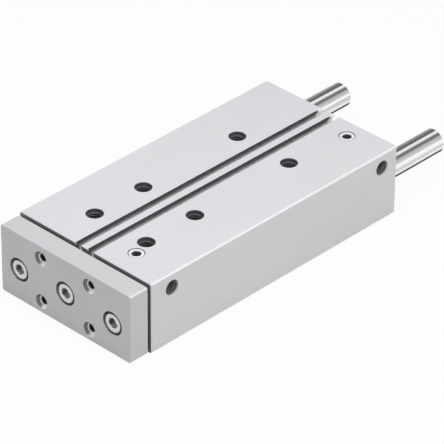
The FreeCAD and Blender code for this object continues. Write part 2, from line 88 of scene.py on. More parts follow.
@dataclass(frozen=True)
class Mouth:
    """Where a round detail starts: the centre of its mouth, its axis, and which way it goes in."""

    centre: Vector
    axis: Axis
    inward: float

    def points(self, radius: np.ndarray, angle: np.ndarray, depth: np.ndarray) -> np.ndarray:
        """Turns cylindrical places into points.

        The point is the centre, plus depth along the inward direction, plus the radius times the cosine and
        the sine of the angle along the two directions across. The angle is turned over where the detail
        goes in against its axis, so that a right-hand helix stays right-handed.

        Args:
            radius: Distance from the axis.
            angle: Angle round the axis.
            depth: Distance from the mouth.

        Returns:
            An array of points with one more dimension than the inputs.
        """
        along, first, second = self.axis.value
        radius, angle, depth = np.broadcast_arrays(radius, angle, depth)
        points = np.empty(radius.shape + (3,))
        points[..., along] = self.centre[along] + self.inward * depth
        points[..., first] = self.centre[first] + radius * np.cos(self.inward * angle)
        points[..., second] = self.centre[second] + radius * np.sin(self.inward * angle)
        return points


def smooth(share: np.ndarray) -> np.ndarray:
    """Goes from 0 to 1 with level ends: three times the square less twice the cube of the clipped share."""
    share = np.clip(share, 0.0, 1.0)
    return share * share * (3.0 - 2.0 * share)


def grid_faces(rows: int, columns: int, closed_rows: bool) -> np.ndarray:
    """Four-cornered faces of a grid of points whose columns close on themselves.

    Args:
        rows: Number of rows of points.
        columns: Number of points in a row, which is four where the rows don't close.
        closed_rows: Whether the last row joins the first.

    Returns:
        The corner numbers of each face, with two end faces added where the rows don't close.
    """
    row = np.arange(rows if closed_rows else rows - 1)[:, None]
    column = np.arange(columns)[None, :]
    next_row = (row + 1) % rows
    next_column = (column + 1) % columns
    corners = [
        row * columns + column,
        row * columns + next_column,
        next_row * columns + next_column,
        next_row * columns + column,
    ]
    faces = np.stack(np.broadcast_arrays(*corners), axis=-1).reshape(-1, 4)
    ends = [np.arange(columns)[::-1], np.arange(columns) + (rows - 1) * columns]
    return faces if closed_rows else np.concatenate([faces, ends])


def closed_surface(grid: np.ndarray, closed_rows: bool = True) -> Surface:
    """A closed surface whose faces point outwards.

    The faces are turned over where the volume that they enclose is negative: the sum over each face of its
    first corner times the cross products of its next ones.

    Args:
        grid: Rows of points, each of which closes on itself.
        closed_rows: Whether the last row joins the first.

    Returns:
        Points and faces.
    """
    faces = grid_faces(*grid.shape[:2], closed_rows)
    points = grid.reshape(-1, 3)
    a, b, c, d = points[faces].swapaxes(0, 1)
    volume = np.sum(a * (np.cross(b, c) + np.cross(c, d)))
    return points, faces if volume > 0.0 else faces[:, ::-1]


def joined(surfaces: Sequence[Surface]) -> Surface:
    """Several closed surfaces as one.

    Args:
        surfaces: Points and faces of each.

    Returns:
        All points, and all faces with their corner numbers moved on.
    """
    starts = np.cumsum([0] + [len(points) for points, _ in surfaces[:-1]])
    faces = [own_faces + start for (_, own_faces), start in zip(surfaces, starts)]
    return np.concatenate([points for points, _ in surfaces]), np.concatenate(faces)


def linked(name: str, data: bpy.types.ID) -> Object:
    """Puts a new object in the scene.

    Args:
        name: Its name.
        data: Its mesh, lamp or camera.

    Returns:
        The object.
    """
    made = bpy.data.objects.new(name, data)
    bpy.context.scene.collection.objects.link(made)
    return made


def make_piece(
    name: str,
    surface: Surface,
    body: str,
    material: Material,
    smooth_faces: bool = True,
) -> Object:
    """Makes a shown piece that rides on a CAD body.

    Args:
        name: The piece's name.
        surface: Points and faces, already in place.
        body: CAD body that it moves with.
        material: Its finish.
        smooth_faces: Whether its normals run on from face to face.

    Returns:
        The new object, which sits at the origin.
    """
    points, faces = surface
    mesh = bpy.data.meshes.new(name)
    mesh.from_pydata(points.tolist(), [], faces.tolist())
    mesh.polygons.foreach_set("use_smooth", np.full(len(faces), smooth_faces))
    mesh.materials.append(material)
    mesh.update()
    piece = linked(name, mesh)
    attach(piece, body)
    LOG.info("piece %s: %d faces on body %s", name, len(faces), body)
    return piece


# ---------------------------------------------------------------- fine round details


@dataclass(frozen=True)
class Thread:
    """A metric internal thread, as the helical ridge that stands inwards from a bore's wall."""

    root_radius: float
    pitch: float
    depth: float
    start: float = 0.3 * MM
    steps_per_turn: int = 36
    bedding: float = 0.03 * MM
    height_share: float = 0.54
    root_half: float = 0.44
    crest_half: float = 0.07

    def surface(self, mouth: Mouth) -> Surface:
        """The ridge as a closed surface.

        The angle grows evenly along the helix and the depth by one pitch a turn. The section is a triangle
        with a flat crest. Its height is a share of the pitch, and swells from nothing over the first third
        of a turn and back to nothing over the last. The root is bedded a little into the wall.

        Args:
            mouth: The bore's mouth.

        Returns:
            Points and faces.
        """
        turns = (self.depth - self.start) / self.pitch - 1.0
        angle = np.linspace(0.0, 2.0 * math.pi * turns, int(turns * self.steps_per_turn) + 1)[:, None]
        runout = 2.0 * math.pi / 3.0
        swell = smooth(np.minimum(angle, angle[-1] - angle) / runout)
        crest = self.root_radius - self.height_share * self.pitch * swell
        root = np.full_like(crest, self.root_radius + self.bedding)
        radius = np.concatenate([root, crest, crest, root], axis=1)
        halves = [[-self.root_half, -self.crest_half, self.crest_half, self.root_half]]
        sides = self.pitch * np.array(halves)
        middle = self.start + self.pitch * (0.5 + angle / (2.0 * math.pi))
        return closed_surface(mouth.points(radius, angle, middle + sides), closed_rows=False)


@dataclass(frozen=True)
class LeadIn:
    """The cone that leads into a thread, carried on from a countersink down to the thread's crest."""

    wall_radius: float
    crest_radius: float
    start: float
    bedding: float = 0.03 * MM
    steps: int = 64

    def surface(self, mouth: Mouth) -> Surface:
        """The cone as a closed ring.

        The section is a triangle: it goes in at about 45 degrees from the wall to the crest radius, and
        back to the wall a little deeper. It is bedded a little into the wall.

        Args:
            mouth: The bore's mouth.

        Returns:
            Points and faces.
        """
        turn = np.arange(self.steps)[:, None] * 2.0 * math.pi / self.steps
        wall = self.wall_radius + self.bedding
        end = self.start + self.wall_radius - self.crest_radius
        radius = np.array([[wall, self.crest_radius, wall]])
        depth = np.array([[self.start, end, end + self.bedding]])
        return closed_surface(mouth.points(radius, turn, depth))


@dataclass(frozen=True)
class Knurl:
    """Straight knurling: a toothed sleeve bedded on a screw's head."""

    head_radius: float
    start: float
    end: float
    teeth: int = 44
    tooth: float = 0.13 * MM
    bedding: float = 0.05 * MM
    sunk_share: float = 0.2
    steps_per_tooth: int = 4

    def surface(self, mouth: Mouth) -> Surface:
        """The sleeve as a closed ring.

        Round the axis the outer radius is the head's plus the tooth height times a triangle wave with one
        period for each tooth. Along the axis it rises from just inside the head's own radius over the first
        tooth height, stays, and falls back over the last.

        Args:
            mouth: The head's face and axis.

        Returns:
            Points and faces.
        """
        steps = self.teeth * self.steps_per_tooth
        turn = np.arange(steps)[:, None] / steps
        wave = 1.0 - np.abs(2.0 * ((turn * self.teeth) % 1.0) - 1.0)
        inner = self.head_radius - self.bedding
        depth = np.array([[self.start, self.start + self.tooth, self.end - self.tooth, self.end]])
        lift = np.array([[0.0, 1.0, 1.0, 0.0]])
        outer = self.head_radius - self.sunk_share * self.bedding + self.tooth * wave * lift
        radius = np.concatenate([outer, np.full((steps, 2), inner)], axis=1)
        depth = np.concatenate([depth, depth[:, [3, 0]]], axis=1)
        return closed_surface(mouth.points(radius, 2.0 * math.pi * turn, depth))


# ---------------------------------------------------------------- material graph


class Nodes:
    """The node tree of a world or material, emptied, and short calls that add nodes and wire them."""

    def __init__(self, owner: Union[Material, bpy.types.World], output: str) -> None:
        """Clears the tree and adds its output.

        Args:
            owner: The world or material.
            output: Kind of the output node.
        """
        owner.use_nodes = True
        self.tree = owner.node_tree
        self.tree.nodes.clear()
        self.surface = self.add(output).inputs["Surface"]

    def feed(self, socket: Socket, term: Term) -> None:
        """Wires a socket to another, or sets it to a plain value.

        Args:
            socket: The input.
            term: The other socket or the value. A plain colour becomes opaque.
        """
        if isinstance(term, bpy.types.NodeSocket):
            self.tree.links.new(term, socket)
        else:
            socket.default_value = (*term, 1.0) if socket.type == "RGBA" else term

    def add(self, kind: str, inputs: Optional[Inputs] = None, **settings: object) -> bpy.types.Node:
        """Adds a node.

        Args:
            kind: Its kind.
            inputs: What feeds its inputs, by their names or numbers.
            **settings: Its own settings.

        Returns:
            The node.
        """
        node = self.tree.nodes.new(kind)
        for key, value in settings.items():
            setattr(node, key, value)
        for key, term in (inputs or {}).items():
            self.feed(node.inputs[key], term)
        return node

    def math(self, operation: str, *terms: Term, clamp: bool = False) -> Socket:
        """A Math node's result."""
        inputs = dict(enumerate(terms))
        return self.add("ShaderNodeMath", inputs, operation=operation, use_clamp=clamp).outputs[0]

    def product(self, *terms: Term) -> Socket:
        """All terms multiplied."""
        return reduce(partial(self.math, "MULTIPLY"), terms)

    def apart(self, first: Term, second: Term) -> Socket:
        """How far apart two values are."""
        return self.math("ABSOLUTE", self.math("SUBTRACT", first, second))

    def vector(self, operation: str, *terms: Term) -> Socket:
        """A Vector Math node's vector result."""
        inputs = dict(enumerate(terms))
        return self.add("ShaderNodeVectorMath", inputs, operation=operation).outputs["Vector"]

    def parts(self, vector: Socket) -> tuple[Socket, Socket, Socket]:
        """The three parts of a vector."""
        return tuple(self.add("ShaderNodeSeparateXYZ", {0: vector}).outputs)

    def between(
        self, value: Term, low: float, high: float, bottom: float = 0.0, top: float = 1.0
    ) -> Socket:
        """Goes smoothly from bottom to top as a value goes from low to high, and stays there."""
        inputs = {"Value": value, "From Min": low, "From Max": high, "To Min": bottom, "To Max": top}
        return self.add("ShaderNodeMapRange", inputs, interpolation_type="SMOOTHSTEP").outputs["Result"]

    def overlap(self, *bands: tuple[Socket, float, float]) -> Socket:
        """1 where every value is past its band, and 0 where any is before it: the product of the shares."""
        return self.product(*(self.between(*band) for band in bands))

    def mix(self, share: Term, first: Term, second: Term) -> Socket:
        """A colour between two, the second where the share is 1."""
        return self.add("ShaderNodeMix", {0: share, 6: first, 7: second}, data_type="RGBA").outputs[2]

    def glow(self, colour: Term, strength: float = 1.0) -> Socket:
        """Plain emitted light."""
        return self.add("ShaderNodeEmission", {"Color": colour, "Strength": strength}).outputs[0]

    def blend(self, share: Socket, first: Socket, second: Socket) -> None:
        """Puts out a mix of two shaders, the second where the share is 1."""
        self.feed(self.surface, self.add("ShaderNodeMixShader", {0: share, 1: first, 2: second}).outputs[0])

    def seen(self, straight: float, mirrored: float) -> Socket:
        """How much of the white background a ray sees.

        Args:
            straight: Share for camera rays.
            mirrored: Share for glossy and transmission rays.

        Returns:
            The share.
        """
        path = self.add("ShaderNodeLightPath")
        total: Term = 0.0
        for ray, share in (("Camera", straight), ("Glossy", mirrored), ("Transmission", mirrored)):
            total = self.math("MULTIPLY_ADD", path.outputs[f"Is {ray} Ray"], share, total, clamp=True)
        return total


class Graph(Nodes):
    """A finish in the making: its shader, and calls for places, patterns and relief."""

    def __init__(self, name: str, colour: Colour, metallic: float, roughness: float) -> None:
        """Makes a material whose plain values sit on the shader itself.

        Args:
            name: The material's name.
            colour: Base colour.
            metallic: Share of metal.
            roughness: Surface roughness.
        """
        self.material = bpy.data.materials.new(name)
        self.material.diffuse_color = (*colour, 1.0)
        super().__init__(self.material, "ShaderNodeOutputMaterial")
        plain = {"Base Color": colour, "Metallic": metallic, "Roughness": roughness}
        self.shader = self.add("ShaderNodeBsdfPrincipled", plain)
        self.feed(self.surface, self.shader.outputs["BSDF"])
        coordinates = self.add("ShaderNodeTexCoord")
        self.place = coordinates.outputs["Object"]
        self.facing = coordinates.outputs["Normal"]
        self.relief: Optional[Socket] = None

    def along(self, axis: Axis) -> Socket:
        """How far along an axis a point lies."""
        return self.parts(self.place)[axis.value[0]]

    def turned(self, axis: Axis) -> Socket:
        """How far a surface is turned towards an axis, from -1 to 1."""
        return self.parts(self.facing)[axis.value[0]]

    def scaled(self, scale: Scale) -> Socket:
        """Object coordinates in pattern units, from their number per metre, on each axis or on all."""
        factors = (scale,) * 3 if isinstance(scale, float) else scale
        return self.add("ShaderNodeMapping", {"Vector": self.place, "Scale": factors}).outputs["Vector"]

    def noise(self, scale: Scale, detail: float, roughness: float = 0.6) -> Socket:
        """Even noise from 0 to 1, from its bumps per metre and the number and strength of finer layers."""
        inputs = {"Vector": self.scaled(scale), "Scale": 1.0, "Detail": detail, "Roughness": roughness}
        return self.add("ShaderNodeTexNoise", inputs).outputs["Fac"]

    def cells(self, scale: Scale) -> Socket:
        """Distance to the nearest of scattered points, from their number per metre."""
        inputs = {"Vector": self.scaled(scale), "Scale": 1.0}
        return self.add("ShaderNodeTexVoronoi", inputs).outputs["Distance"]

    def emboss(self, height: Socket, depth: float) -> None:
        """Adds relief to the shader's normal, on top of what is there.

        Args:
            height: Height from 0 to 1.
            depth: What a height of 1 stands for, in metres.
        """
        bump = self.add("ShaderNodeBump", {"Height": height, "Distance": depth})
        if self.relief is not None:
            self.feed(bump.inputs["Normal"], self.relief)
        self.relief = bump.outputs["Normal"]
        self.feed(self.shader.inputs["Normal"], self.relief)

    def paint(self, colour: Socket) -> None:
        """Wires the base colour."""
        self.feed(self.shader.inputs["Base Color"], colour)

    def roughen(self, roughness: Socket) -> None:
        """Wires the roughness."""
        self.feed(self.shader.inputs["Roughness"], roughness)

    def radius_round(self, centre: Vector, axis: Axis) -> Socket:
        """Distance from a line through a centre along an axis: the length of what is across it.

        Args:
            centre: A point on the line.
            axis: The line's direction.

        Returns:
            The distance.
        """
        away = self.vector("SUBTRACT", self.place, tuple(centre))
        across = tuple(float(index != axis.value[0]) for index in range(3))
        flat = self.vector("MULTIPLY", away, across)
        return self.add("ShaderNodeVectorMath", {0: flat}, operation="LENGTH").outputs["Value"]


# ---------------------------------------------------------------- finishes


def toned(colour: Colour, factor: float) -> Colour:
    """A colour times a factor, up to white."""
    return tuple(min(1.0, factor * part) for part in colour)


class Lay(Enum):
    """Which way the marks of the last machining run, as pattern units per metre on each axis."""

    ALONG_Y = (5200.0, 55.0, 5200.0)
    ALONG_X = (90.0, 5200.0, 5200.0)


@dataclass(frozen=True)
class Shade:
    """How far in from each side of a block painted shade darkens its bores."""

    sides: Band
    faces: Band
    front: Band
    rear: Band


@dataclass(frozen=True)
class Grooves:
    """Painted light in two grooves along Y, each as far from the part's middle: pale floors, and pale rear
    ends.
    """

    middle: float
    # The pale colour that paints light on the floors and rear ends.
    colour: Colour = (0.98, 0.98, 0.98)
    floor_width: Band = (2.0 * MM, 1.65 * MM)
    floor_depth: Band = (2.0 * MM, 2.2 * MM)
    end_width: Band = (2.3 * MM, 2.2 * MM)
    end_depth: Band = (2.6 * MM, 2.5 * MM)
    end_start: Band = (0.1 * MM, 0.5 * MM)
    end_stop: Band = (3.0 * MM, 2.0 * MM)

    def off_middle(self, graph: Graph) -> Socket:
        """Distance along X from the middle of the nearer groove."""
        return graph.apart(graph.math("ABSOLUTE", graph.along(Axis.X)), self.middle)

    def floors(self, graph: Graph, depth: Socket) -> Socket:
        """1 in the middle of the grooves' floors, where light is painted, told by the depth below the top.
        """
        return graph.overlap((self.off_middle(graph), *self.floor_width), (depth, *self.floor_depth))

    def ends(self, graph: Graph, high: Vector, skin: Band) -> Socket:
        """1 inside the grooves just ahead of the rear, where light is painted as if it came in at their
        open ends.

        Args:
            graph: The material.
            high: The block's upper rear corner.
            skin: Band of depth in which the top face turns into the grooves.

        Returns:
            The share.
        """
        below = graph.math("SUBTRACT", high.z, graph.along(Axis.Z))
        ahead = graph.math("SUBTRACT", high.y, graph.along(Axis.Y))
        return graph.overlap(
            (self.off_middle(graph), *self.end_width),
            (below, *skin),
            (below, *self.end_depth),
            (ahead, *self.end_start),
            (ahead, *self.end_stop),
        )


@dataclass(frozen=True)
class Countersinks:
    """Painted light and painted shade on the countersinks in a block's front face."""

    low: Vector
    high: Vector
    # Painted light on the countersinks, and painted shade on their side turned to +X.
    colour: Colour = WHITE
    shade_colour: Colour = (0.19, 0.19, 0.19)
    inset: Band = (0.8 * MM, 1.0 * MM)
    heights: tuple[Band, ...] = ((4.6 * MM, 4.9 * MM), (10.8 * MM, 10.5 * MM))
    reach: Band = (1.3 * MM, 1.2 * MM)
    leaning: tuple[Band, ...] = ((0.3, 0.5), (0.95, 0.85))
    shade_turn: Band = (-0.1, 0.35)
    shade_reach: Band = (0.82 * MM, 0.76 * MM)

    def tint(self, graph: Graph, tone: Socket) -> Socket:
        """Paints light on the leaning surfaces just behind the front face, in a band of heights.

        Args:
            graph: The material.
            tone: Colour of the rest.

        Returns:
            The colour, with painted shade on the sides that are turned to +X.
        """
        x = graph.along(Axis.X)
        to_low = graph.math("SUBTRACT", x, self.low.x)
        to_high = graph.math("SUBTRACT", self.high.x, x)
        level = graph.apart(graph.along(Axis.Z), (self.low.z + self.high.z) / 2.0)
        behind = graph.math("SUBTRACT", graph.along(Axis.Y), self.low.y)
        lean = graph.math("ABSOLUTE", graph.turned(Axis.Y))
        share = graph.overlap(
            (graph.math("MINIMUM", to_low, to_high), *self.inset),
            *((level, *band) for band in self.heights),
            (behind, *self.reach),
            *((lean, *band) for band in self.leaning),
        )
        # Painted shade on the side turned to +X near the mouth, and painted light on the rest.
        shaded = graph.overlap((graph.turned(Axis.X), *self.shade_turn), (behind, *self.shade_reach))
        return graph.mix(share, tone, graph.mix(shaded, self.colour, self.shade_colour))


@dataclass(frozen=True)
class AnodisedSkin:
    """Clear-anodised aluminium: a matt skin, with painted highlights on the long chamfers, painted shade in
    the bores and on the face at the gap, and painted light in grooves where they are given.
    """

    name: str
    low: Vector
    high: Vector
    lay: Lay
    shade: Shade
    gap_side: float
    colour: Colour
    grooves: Optional[Grooves] = None
    sinks: Optional[Countersinks] = None
    # Painted highlight on the long chamfers, which are also made smoother.
    chamfer_highlight_colour: Colour = (0.9, 0.905, 0.91)
    chamfer_lean: Band = (0.7, 0.95)
    chamfer_end: Band = (0.2, 0.1)
    chamfer_polish: float = 0.14
    # Painted shade on the end face that looks into the narrow gap between plate and body.
    gap_shade_colour: Colour = (0.28, 0.28, 0.285)
    gap_turn: Band = (0.8, 0.95)
    gap_skin: Band = (0.06 * MM, 0.03 * MM)
    # Painted shade inside bores: lip, bore and deep colours by depth, and port colours down the side ports.
    lip_shade_colour: Colour = (0.06, 0.06, 0.065)
    bore_shade_colour: Colour = (0.13, 0.13, 0.135)
    bore_depth: Band = (0.3 * MM, 0.9 * MM)
    bore_dullness: float = 0.1
    deep_colour: Colour = (0.17, 0.17, 0.175)
    deep_depth: Band = (1.2 * MM, 3.5 * MM)
    port_shade_colour: Colour = (0.36, 0.36, 0.36)
    port_deep_colour: Colour = (0.08, 0.08, 0.08)
    port_deep_depth: Band = (0.7 * MM, 2.2 * MM)
    port_reach: Band = (2.8 * MM, 2.5 * MM)
    grain_per_metre: float = 9000.0
    grain_depth: float = 2.5 * MICRON
    drawn_depth: float = 3.0 * MICRON
    mottle_per_metre: float = 70.0
    mottle_dark: float = 0.985
    mottle_light: float = 1.01
    metallic: float = 0.12
    roughness: float = 0.46

    def bores(self, graph: Graph) -> tuple[Socket, Socket, Socket]:
        """Tells bores and grooves, where shade is painted, by how far inside the block's box a point lies.

        Args:
            graph: The material.

        Returns:
            The share of painted bore shade, the distance in from the sides, and the least one from top,
            base and front.
        """
        centre = (self.low + self.high) / 2.0
        half = (self.high - self.low) / 2.0
        away = graph.vector("ABSOLUTE", graph.vector("SUBTRACT", graph.place, tuple(centre)))
        side, _, face = graph.parts(graph.vector("SUBTRACT", tuple(half), away))
        front = graph.math("SUBTRACT", graph.along(Axis.Y), self.low.y)
        rear = graph.math("SUBTRACT", self.high.y, graph.along(Axis.Y))
        share = graph.overlap(
            (side, *self.shade.sides),
            (face, *self.shade.faces),
            (front, *self.shade.front),
            (rear, *self.shade.rear),
        )
        return share, side, graph.math("MINIMUM", face, front)

    def inner_tone(self, graph: Graph, side: Socket, depth: Socket) -> Socket:
        """The shade painted inside bores, dark just below a mouth and lighter again further in.

        Args:
            graph: The material.
            side: Distance in from the sides, which tells side ports.
            depth: Distance in from the top, base or front.

        Returns:
            The colour, with painted light in the middle of the grooves' floors and painted shade down the
            ports.
        """
        tone = graph.mix(graph.between(depth, *self.bore_depth), self.lip_shade_colour, self.bore_shade_colour)
        tone = graph.mix(graph.between(depth, *self.deep_depth), tone, self.deep_colour)
        if self.grooves is not None:
            tone = graph.mix(self.grooves.floors(graph, depth), tone, self.grooves.colour)
        deep = graph.between(side, *self.port_deep_depth)
        port = graph.mix(deep, self.port_shade_colour, self.port_deep_colour)
        return graph.mix(graph.between(side, *self.port_reach), tone, port)

    def chamfers(self, graph: Graph) -> Socket:
        """1 on long chamfers, where a highlight is painted: twice the normal's sideways part times its
        upright part, both unsigned.
        """
        x, y, z = graph.parts(graph.vector("ABSOLUTE", graph.facing))
        return graph.overlap((graph.product(2.0, x, z), *self.chamfer_lean), (y, *self.chamfer_end))

    def gap_shade_face(self, graph: Graph) -> Socket:
        """Tells the end face that looks into the gap between plate and body, where shade is painted.

        Args:
            graph: The material.

        Returns:
            1 on that face.
        """
        towards = graph.math("MULTIPLY", graph.turned(Axis.Y), self.gap_side)
        off = graph.apart(graph.along(Axis.Y), self.high.y if self.gap_side > 0.0 else self.low.y)
        return graph.overlap((towards, *self.gap_turn), (off, *self.gap_skin))

    def build(self) -> Material:
        """Drawn marks, fine matt grain and faint mottling, then painted highlights on chamfers, painted
        shade at the gap and in bores, and painted light in the grooves.

        Returns:
            The material.
        """
        graph = Graph(self.name, self.colour, self.metallic, self.roughness)
        bore, side, depth = self.bores(graph)
        chamfer = self.chamfers(graph)
        drawn = graph.noise(self.lay.value, 3.0)
        grain = graph.noise(self.grain_per_metre, 2.0)
        mottle = graph.between(graph.noise(self.mottle_per_metre, 3.0, 0.55), 0.3, 0.7)
        dark, light = toned(self.colour, self.mottle_dark), toned(self.colour, self.mottle_light)
        tone = graph.mix(mottle, dark, light)
        tone = graph.mix(graph.between(drawn, 0.35, 0.75, 0.0, 0.5), tone, self.colour)
        # Painted highlight on the long chamfers.
        tone = graph.mix(chamfer, tone, self.chamfer_highlight_colour)
        # Painted shade on the end face at the gap.
        tone = graph.mix(self.gap_shade_face(graph), tone, self.gap_shade_colour)
        # Painted light inside the grooves just ahead of the rear.
        if self.grooves is not None:
            ends = self.grooves.ends(graph, self.high, self.shade.faces)
            tone = graph.mix(ends, tone, self.grooves.colour)
        # Painted shade in the bores, over everything else.
        tone = graph.mix(bore, tone, self.inner_tone(graph, side, depth))
        if self.sinks is not None:
            tone = self.sinks.tint(graph, tone)
        graph.paint(tone)
        matt = graph.between(grain, 0.3, 0.7, self.roughness - 0.04, self.roughness + 0.05)
        polished = graph.math("SUBTRACT", matt, graph.math("MULTIPLY", chamfer, self.chamfer_polish))
        graph.roughen(graph.math("ADD", polished, graph.math("MULTIPLY", bore, self.bore_dullness)))
        graph.emboss(drawn, self.drawn_depth)
        graph.emboss(grain, self.grain_depth)
        return graph.material


@dataclass(frozen=True)
class Hollow:
    """A hollow in turned metal: its radius, the place of its mouth, and the shade painted inside it."""

    radius: float
    mouth: float
    # Painted shade inside the hollow. The lit colour is painted light on walls turned up.
    colour: Colour
    inward: float = 1.0
    fade: Band = (0.03 * MM, 0.25 * MM)
    edge: float = 0.02 * MM
    lit_colour: Optional[Colour] = None
    lit_turn: Band = (0.2, 0.7)
    metallic: Optional[float] = None

    def share(self, graph: Graph, radius: Socket, axis: Axis) -> Socket:
        """1 inside the hollow, told by the radius and by how far in a point lies."""
        sunk = graph.math("MULTIPLY", graph.math("SUBTRACT", graph.along(axis), self.mouth), self.inward)
        return graph.overlap((sunk, *self.fade), (radius, self.radius + self.edge, self.radius - self.edge))

    def tone(self, graph: Graph) -> Term:
        """The painted shade inside, with painted light on surfaces that are turned up, where a lit colour
        is given.

        Args:
            graph: The material.

        Returns:
            The colour.
        """
        if self.lit_colour is None:
            return self.colour
        return graph.mix(graph.between(graph.turned(Axis.Z), *self.lit_turn), self.colour, self.lit_colour)


@dataclass(frozen=True)
class Rim:
    """A painted shadow ring past a radius, whose centre may be moved off the axis so that it is wider on
    one side.
    """

    radius: float
    colour: Colour
    shift: tuple[float, float, float] = (0.0, 0.0, 0.0)
    before: float = 0.05 * MM
    after: float = 0.1 * MM

    def share(self, graph: Graph, centre: Vector, axis: Axis) -> Socket:
        """1 on the rim."""
        off = graph.radius_round(centre + Vector(self.shift), axis)
        return graph.between(off, self.radius - self.before, self.radius + self.after)


@dataclass(frozen=True)
class CutMetal:
    """Bare metal turned or tapped round an axis: fine rings, and painted shade in a hollow or on a rim
    where one is given.
    """

    name: str
    centre: Vector
    axis: Axis
    colour: Colour
    metallic: float = 0.8
    roughness: float = 0.3
    ring_pitch: float = 0.16 * MM
    ring_share: float = 0.35
    ring_depth: float = 2.5 * MICRON
    chatter_per_metre: float = 2500.0
    stain_per_metre: float = 400.0
    stain_dark: float = 0.86
    hollow: Optional[Hollow] = None
    rim: Optional[Rim] = None

    def build(self) -> Material:
        """Rings of a sine of the radius, broken by noise, and stained patches.

        Returns:
            The material.
        """
        graph = Graph(self.name, self.colour, self.metallic, self.roughness)
        radius = graph.radius_round(self.centre, self.axis)
        rings = graph.math("SINE", graph.math("MULTIPLY", radius, 2.0 * math.pi / self.ring_pitch))
        chatter = graph.noise(self.chatter_per_metre, 2.0)
        clean = graph.between(graph.noise(self.stain_per_metre, 3.0), 0.35, 0.68)
        tone = graph.mix(clean, toned(self.colour, self.stain_dark), self.colour)
        # Painted shade in the hollow, and a painted shadow ring on the rim.
        if self.hollow is not None:
            deep = self.hollow.share(graph, radius, self.axis)
            tone = graph.mix(deep, tone, self.hollow.tone(graph))
            if self.hollow.metallic is not None:
                metal = graph.between(deep, 0.0, 1.0, self.metallic, self.hollow.metallic)
                graph.feed(graph.shader.inputs["Metallic"], metal)
        if self.rim is not None:
            tone = graph.mix(self.rim.share(graph, self.centre, self.axis), tone, self.rim.colour)
        graph.paint(tone)
        graph.roughen(graph.between(chatter, 0.3, 0.7, self.roughness - 0.05, self.roughness + 0.08))
        graph.emboss(graph.math("MULTIPLY_ADD", rings, self.ring_share, chatter), self.ring_depth)
        return graph.material


@dataclass(frozen=True)
class ChromedRod:
    """Ground and hard-chromed steel: mirror bright, with faint hoops from grinding, and dull ends."""

    name: str = "hard_chrome"
    colour: Colour = (0.93, 0.935, 0.94)
    end_colour: Colour = (0.72, 0.72, 0.73)
    end_turn: Band = (0.9, 0.97)
    end_dullness: float = 0.32
    hoops_per_metre: Scale = (300.0, 9000.0, 300.0)
    hoop_depth: float = 0.12 * MICRON
    slides_per_metre: Scale = (4000.0, 40.0, 4000.0)
    slide_depth: float = 0.25 * MICRON
    slide_dark: float = 0.95
    metallic: float = 1.0
    roughness: float = 0.09

    def build(self) -> Material:
        """Hair-fine hoops round the rod, and barely seen long marks from sliding.

        Returns:
            The material.
        """
        graph = Graph(self.name, self.colour, self.metallic, self.roughness)
        hoops = graph.noise(self.hoops_per_metre, 3.0)
        slides = graph.noise(self.slides_per_metre, 2.0, 0.5)
        end = graph.between(graph.math("ABSOLUTE", graph.turned(Axis.Y)), *self.end_turn)
        sheen = graph.between(hoops, 0.3, 0.7, self.roughness - 0.02, self.roughness + 0.03)
        graph.roughen(graph.math("MULTIPLY_ADD", end, self.end_dullness, sheen))
        worn = toned(self.colour, self.slide_dark)
        tone = graph.mix(graph.between(slides, 0.45, 0.75), self.colour, worn)
        graph.paint(graph.mix(end, tone, self.end_colour))
        graph.emboss(hoops, self.hoop_depth)
        graph.emboss(slides, self.slide_depth)
        return graph.material


@dataclass(frozen=True)
class SinteredBronze:
    """Porous bearing bronze: brown-gold grains with dark oil-filled pores."""

    name: str = "sintered_bronze"
    colour: Colour = (0.52, 0.37, 0.19)
    pore_colour: Colour = (0.12, 0.075, 0.035)
    pores_per_metre: float = 4200.0
    pore_depth: float = 5.0 * MICRON
    patches_per_metre: float = 600.0
    patch_dark: float = 0.75
    metallic: float = 0.85
    roughness: float = 0.48

    def build(self) -> Material:
        """Pores where the distance to scattered points is small, and uneven brown.

        Returns:
            The material.
        """
        graph = Graph(self.name, self.colour, self.metallic, self.roughness)
        distance = graph.cells(self.pores_per_metre)
        patches = graph.between(graph.noise(self.patches_per_metre, 3.0), 0.35, 0.7)
        tone = graph.mix(patches, toned(self.colour, self.patch_dark), self.colour)
        graph.paint(graph.mix(graph.between(distance, 0.3, 0.15), tone, self.pore_colour))
        graph.roughen(graph.between(distance, 0.1, 0.5, self.roughness + 0.15, self.roughness - 0.04))
        graph.emboss(graph.between(distance, 0.1, 0.4), self.pore_depth)
        return graph.material


@dataclass(frozen=True)
class MouldedPolymer:
    """Rubber, polyurethane or filled plastic: a dull skin with fine texture and dusty patches."""

    name: str
    colour: Colour
    roughness: float
    grain: float
    dust: float = 0.35
    dust_paleness: float = 0.05
    bloom_per_metre: float = 350.0
    texture_depth: float = 4.0 * MICRON

    def build(self) -> Material:
        """Even grain in the relief, and patches of a paler, rougher bloom.

        Returns:
            The material.
        """
        graph = Graph(self.name, self.colour, 0.0, self.roughness)
        bloom = graph.noise(self.bloom_per_metre, 4.0)
        paler = tuple(part + self.dust_paleness * self.dust for part in self.colour)
        graph.paint(graph.mix(graph.between(bloom, 0.45, 0.75), self.colour, paler))
        graph.roughen(graph.between(bloom, 0.4, 0.75, self.roughness - 0.05, self.roughness + 0.12))
        graph.emboss(graph.noise(1.0 / self.grain, 3.0), self.texture_depth)
        return graph.material


